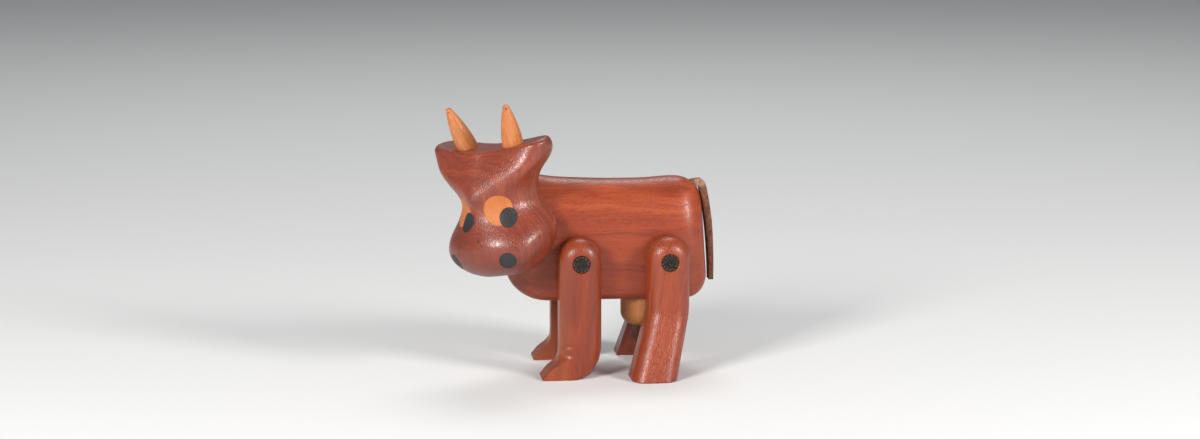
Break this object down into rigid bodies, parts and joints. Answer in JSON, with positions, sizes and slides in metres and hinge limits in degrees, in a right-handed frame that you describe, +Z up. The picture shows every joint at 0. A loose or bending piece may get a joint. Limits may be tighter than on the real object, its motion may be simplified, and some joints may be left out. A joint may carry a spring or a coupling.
{
  "type": "jointed wooden cow figurine",
  "caption": "Wooden cow figurine with a turning head, legs that swing on elastic cords, pale horns and eyes, an udder and a leather tail.",
  "frame": {"origin": "centre of the bounding box in X and Y, at the height of the soles", "axes": "+Z up; the cow's body faces -X, its left side is -Y"},
  "size_m": [0.0954, 0.0613, 0.0941],
  "materials": {
    "red_wood": "satin varnish over a red-brown hardwood with fine grain",
    "pale_wood": "pale orange-tan wood, satin",
    "yellow_wood": "ochre wood, satin",
    "dark_wood": "charcoal-dark wood, slightly glossy",
    "brown_wood": "very dark brown wood",
    "cord": "dark braided cover over an elastic core, cut ends",
    "leather": "red-brown leather, brown suede on the cut edges"
  },
  "bodies": {
    "trunk": {"body": "red_wood", "udder": "yellow_wood", "teat_front_left": "brown_wood", "teat_front_right": "brown_wood", "teat_rear_left": "brown_wood", "teat_rear_right": "brown_wood", "front_cord": "cord", "rear_cord": "cord", "neck_pin": "pale_wood", "tail_root": "leather"},
    "head_group": {"head": "red_wood", "horn_left": "pale_wood", "horn_right": "pale_wood", "eye_left": "pale_wood", "eye_right": "pale_wood", "pupil_left": "dark_wood", "pupil_right": "dark_wood", "nostril_left": "dark_wood", "nostril_right": "dark_wood", "neck_cord": "cord"},
    "front_leg_left_group": {"front_leg_left": "red_wood"},
    "front_leg_right_group": {"front_leg_right": "red_wood"},
    "rear_leg_left_group": {"rear_leg_left": "red_wood"},
    "rear_leg_right_group": {"rear_leg_right": "red_wood"},
    "tail_group": {"tail": "leather"}
  },
  "joints": [
    {"name": "front_leg_left_swing", "type": "hinge", "parent": "trunk", "child": "front_leg_left_group", "pos_m": [0.0001, -0.01615, 0.0395], "axis": [0, 1, 0], "range_deg": [-12, 40]},
    {"name": "front_leg_right_swing", "type": "hinge", "parent": "trunk", "child": "front_leg_right_group", "pos_m": [0.0001, 0.01715, 0.0395], "axis": [0, 1, 0], "range_deg": [-12, 40]},
    {"name": "rear_leg_left_swing", "type": "hinge", "parent": "trunk", "child": "rear_leg_left_group", "pos_m": [0.0301, -0.01615, 0.0395], "axis": [0, 1, 0], "range_deg": [-80, 12]},
    {"name": "rear_leg_right_swing", "type": "hinge", "parent": "trunk", "child": "rear_leg_right_group", "pos_m": [0.0301, 0.01715, 0.0395], "axis": [0, 1, 0], "range_deg": [-80, 12]},
    {"name": "head_turn", "type": "hinge", "parent": "trunk", "child": "head_group", "pos_m": [-0.01431, 0.0005, 0.04938], "axis": [-0.1564, 0, 0.9877], "range_deg": [-98, 0]},
    {"name": "tail_lift", "type": "hinge", "parent": "trunk", "child": "tail_group", "pos_m": [0.04302, 0.0005, 0.064], "axis": [0, -1, 0], "range_deg": [0, 50], "stiffness_Nm_per_rad": 0.0005}
  ]
}
